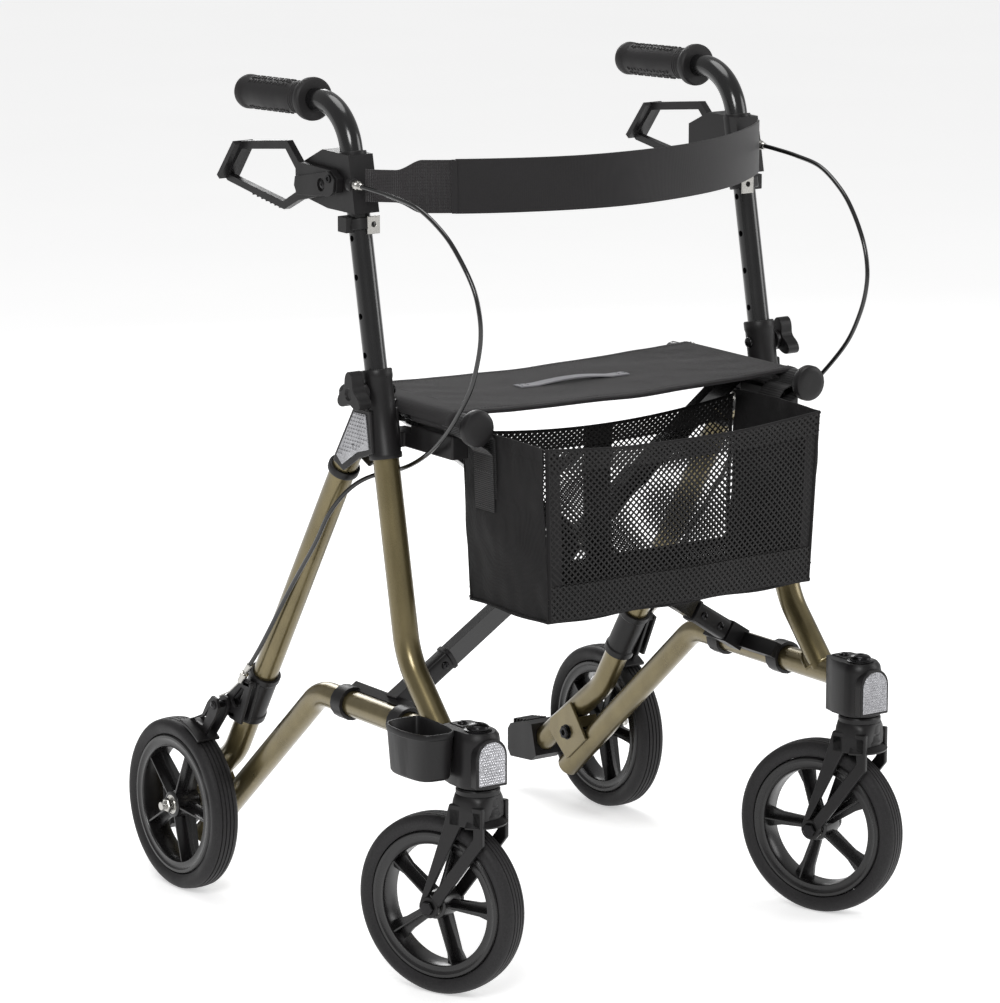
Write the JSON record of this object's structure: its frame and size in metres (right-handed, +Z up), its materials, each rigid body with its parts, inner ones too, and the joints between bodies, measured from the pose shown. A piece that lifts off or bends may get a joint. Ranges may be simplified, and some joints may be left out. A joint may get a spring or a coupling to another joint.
{
  "type": "rollator walker",
  "caption": "Folding four-wheeled walker with grips, cable brakes, swivelling front casters, a fabric seat, a hanging mesh basket, a backrest strap and a cane cup.",
  "frame": {"origin": "on the floor, below the middle of the whole walker's box", "axes": "+Z up, -Y is the walking direction (the casters' end), +X to the right as seen from the front looking along +Y"},
  "size_m": [0.667, 0.7132, 0.9617],
  "materials": {
    "frame_gold": "champagne gold metallic lacquer",
    "black_metal": "satin black anodised tube",
    "black_plastic": "fine-grained moulded nylon",
    "grip_rubber": "soft matt rubber",
    "tyre_rubber": "grooved solid tyre",
    "zinc_steel": "bright zinc plated",
    "cable_sheath": "glossy extruded sheath",
    "seat_fabric": "tight plain weave nylon",
    "basket_fabric": "plain weave sides with open diamond mesh",
    "strap_webbing": "smooth padded band"
  },
  "bodies": {
    "left_frame": {"front_leg_left": "frame_gold", "lower_tube_left": "frame_gold", "rear_leg_left": "frame_gold", "socket_left": "black_plastic", "axle_bracket_left": "frame_gold", "kerb_pedal_left": "black_plastic", "caster_head_left": "black_plastic", "caster_bolt_left": "black_metal", "rear_axle_left": "zinc_steel", "brake_body_left": "black_plastic", "seat_cradle_left": "black_plastic", "stick_holder": "black_plastic", "brake_cable_left": "cable_sheath"},
    "caster_left": {"caster_fork_left": "black_plastic", "front_axle_left": "zinc_steel"},
    "front_wheel_left": {"front_tyre_left": "tyre_rubber", "front_rim_left": "black_plastic"},
    "rear_wheel_left": {"rear_tyre_left": "tyre_rubber", "rear_rim_left": "black_plastic"},
    "handle_left": {"handle_tube_left": "black_metal", "grip_left": "grip_rubber", "lever_housing_left": "black_plastic", "backrest_strap": "strap_webbing"},
    "lever_left": {"brake_lever_left": "black_plastic"},
    "shoe_left": {"brake_arm_left": "black_plastic"},
    "knob_left": {"wing_knob_left": "black_plastic"},
    "right_frame": {"front_leg_right": "frame_gold", "lower_tube_right": "frame_gold", "rear_leg_right": "frame_gold", "socket_right": "black_plastic", "axle_bracket_right": "frame_gold", "kerb_pedal_right": "black_plastic", "caster_head_right": "black_plastic", "caster_bolt_right": "black_metal", "rear_axle_right": "zinc_steel", "brake_body_right": "black_plastic", "seat_cradle_right": "black_plastic", "brake_cable_right": "cable_sheath"},
    "caster_right": {"caster_fork_right": "black_plastic", "front_axle_right": "zinc_steel"},
    "front_wheel_right": {"front_tyre_right": "tyre_rubber", "front_rim_right": "black_plastic"},
    "rear_wheel_right": {"rear_tyre_right": "tyre_rubber", "rear_rim_right": "black_plastic"},
    "handle_right": {"handle_tube_right": "black_metal", "grip_right": "grip_rubber", "lever_housing_right": "black_plastic"},
    "lever_right": {"brake_lever_right": "black_plastic"},
    "shoe_right": {"brake_arm_right": "black_plastic"},
    "knob_right": {"wing_knob_right": "black_plastic"},
    "scissor_a": {"strut_a": "black_metal", "cross_pivot": "zinc_steel", "strut_sleeve_left": "black_plastic", "seat_bar_right": "black_metal", "seat_sling": "seat_fabric"},
    "scissor_b": {"strut_b": "black_metal", "strut_sleeve_right": "black_plastic", "seat_bar_left": "black_metal"},
    "basket": {"basket": "basket_fabric"}
  },
  "joints": [
    {"name": "fold", "type": "hinge", "parent": "left_frame", "child": "scissor_a", "pos_m": [-0.2611, 0, 0.275], "axis": [0, -1, 0], "range_deg": [0, 42], "deforming": ["seat_sling", "basket", "backrest_strap"]},
    {"name": "scissor_pivot", "type": "hinge", "parent": "scissor_a", "child": "scissor_b", "pos_m": [0, 0, 0.443], "axis": [0, -1, 0], "range_deg": [-84, 0]},
    {"name": "right_strut_foot", "type": "hinge", "parent": "scissor_b", "child": "right_frame", "pos_m": [0.2611, 0, 0.275], "axis": [0, -1, 0], "range_deg": [0, 42]},
    {"name": "basket_hang", "type": "hinge", "parent": "scissor_a", "child": "basket", "pos_m": [0.2245, 0, 0.611], "axis": [0, -1, 0], "range_deg": [-42, 0]},
    {"name": "caster_swivel_left", "type": "hinge", "parent": "left_frame", "child": "caster_left", "pos_m": [-0.2611, -0.305, 0.24], "axis": [0, 0, 1], "continuous": true},
    {"name": "front_wheel_spin_left", "type": "hinge", "parent": "caster_left", "child": "front_wheel_left", "pos_m": [-0.27833, -0.26127, 0.1], "axis": [0.9304, 0.3665, 0], "continuous": true},
    {"name": "rear_wheel_spin_left", "type": "hinge", "parent": "left_frame", "child": "rear_wheel_left", "pos_m": [-0.3027, 0.2337, 0.1], "axis": [1, 0, 0], "continuous": true},
    {"name": "handle_height_left", "type": "slide", "parent": "left_frame", "child": "handle_left", "axis": [0, 0.1916, 0.9815], "range_m": [-0.12, 0.03], "deforming": ["brake_cable_left"]},
    {"name": "lever_squeeze_left", "type": "hinge", "parent": "handle_left", "child": "lever_left", "pos_m": [-0.278, -0.063, 0.857], "axis": [1, 0, 0], "range_deg": [0, 9], "stiffness_Nm_per_rad": 2, "springref_deg": -11.46},
    {"name": "shoe_press_left", "type": "hinge", "parent": "left_frame", "child": "shoe_left", "pos_m": [-0.2873, 0.16, 0.232], "axis": [1, 0, 0], "range_deg": [-3.15, 0]},
    {"name": "height_clamp_left", "type": "hinge", "parent": "left_frame", "child": "knob_left", "pos_m": [-0.2782, -0.11716, 0.635], "axis": [1, 0, 0], "continuous": true},
    {"name": "caster_swivel_right", "type": "hinge", "parent": "right_frame", "child": "caster_right", "pos_m": [0.2611, -0.305, 0.24], "axis": [0, 0, 1], "continuous": true},
    {"name": "front_wheel_spin_right", "type": "hinge", "parent": "caster_right", "child": "front_wheel_right", "pos_m": [0.24387, -0.26127, 0.1], "axis": [0.9304, 0.3665, 0], "continuous": true},
    {"name": "rear_wheel_spin_right", "type": "hinge", "parent": "right_frame", "child": "rear_wheel_right", "pos_m": [0.3027, 0.2337, 0.1], "axis": [1, 0, 0], "continuous": true},
    {"name": "handle_height_right", "type": "slide", "parent": "right_frame", "child": "handle_right", "axis": [0, 0.1916, 0.9815], "range_m": [-0.12, 0.03], "deforming": ["brake_cable_right"]},
    {"name": "lever_squeeze_right", "type": "hinge", "parent": "handle_right", "child": "lever_right", "pos_m": [0.278, -0.063, 0.857], "axis": [1, 0, 0], "range_deg": [0, 9], "stiffness_Nm_per_rad": 2, "springref_deg": -11.46},
    {"name": "shoe_press_right", "type": "hinge", "parent": "right_frame", "child": "shoe_right", "pos_m": [0.2873, 0.16, 0.232], "axis": [1, 0, 0], "range_deg": [-3.15, 0]},
    {"name": "height_clamp_right", "type": "hinge", "parent": "right_frame", "child": "knob_right", "pos_m": [0.2782, -0.11716, 0.635], "axis": [1, 0, 0], "continuous": true}
  ],
  "couplings": [
    {"joint": "scissor_pivot", "follows": "fold", "ratio": -2},
    {"joint": "right_strut_foot", "follows": "fold", "ratio": 1},
    {"joint": "basket_hang", "follows": "fold", "ratio": -1},
    {"joint": "handle_height_right", "follows": "handle_height_left", "ratio": 1},
    {"joint": "shoe_press_left", "follows": "lever_squeeze_left", "ratio": -0.35},
    {"joint": "shoe_press_right", "follows": "lever_squeeze_right", "ratio": -0.35}
  ]
}
